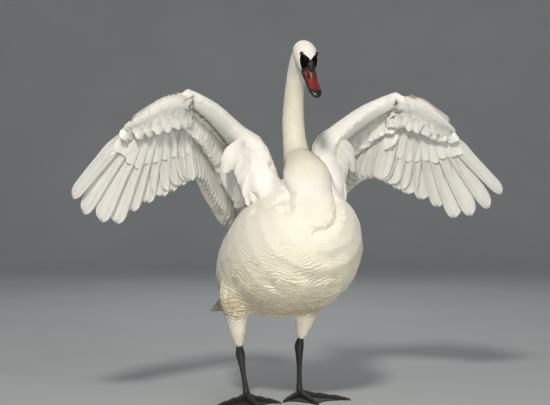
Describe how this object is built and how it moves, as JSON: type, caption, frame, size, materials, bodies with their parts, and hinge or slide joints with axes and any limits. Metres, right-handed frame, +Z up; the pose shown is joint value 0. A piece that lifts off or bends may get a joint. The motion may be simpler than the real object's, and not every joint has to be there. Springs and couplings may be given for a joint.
{
  "type": "mute swan",
  "caption": "Life-size standing mute swan with both wings raised and half spread, neck upright and bill held down.",
  "frame": {"origin": "floor level under the middle of the overall box", "axes": "+Z up, the bird faces -Y, its left wing reaches out along +X"},
  "size_m": [1.2962, 0.7532, 1.0384],
  "materials": {
    "plumage": "soft cream-white body feathers",
    "flight_feathers": "white flight feathers with a faint sheen",
    "bill": "smooth red-orange horn, black at the edge and nail",
    "black_skin": "smooth black skin and horn",
    "leg_skin": "black scaled leg skin and web",
    "eye": "wet dark eye"
  },
  "bodies": {
    "root": {"trunk": "plumage", "neck_lower": "plumage", "neck_middle": "plumage", "neck_upper": "plumage", "head": "plumage", "bill_upper": "bill", "bill_lower": "bill", "bill_knob": "black_skin", "eye_left": "eye", "eye_right": "eye", "tail_base": "plumage", "tail_feathers": "flight_feathers", "thigh_left": "plumage", "shank_left": "leg_skin", "foot_left": "leg_skin", "claw_left_inner": "black_skin", "claw_left_middle": "black_skin", "claw_left_outer": "black_skin", "claw_left_hind": "black_skin", "thigh_right": "plumage", "shank_right": "leg_skin", "foot_right": "leg_skin", "claw_right_inner": "black_skin", "claw_right_middle": "black_skin", "claw_right_outer": "black_skin", "claw_right_hind": "black_skin", "wing_upper_arm_left": "plumage", "wing_forearm_left": "plumage", "wing_hand_left": "plumage", "alula_left": "flight_feathers", "primaries_left": "flight_feathers", "secondaries_left": "flight_feathers", "tertials_left": "flight_feathers", "wing_upper_arm_right": "plumage", "wing_forearm_right": "plumage", "wing_hand_right": "plumage", "alula_right": "flight_feathers", "primaries_right": "flight_feathers", "secondaries_right": "flight_feathers", "tertials_right": "flight_feathers"}
  },
  "joints": []
}
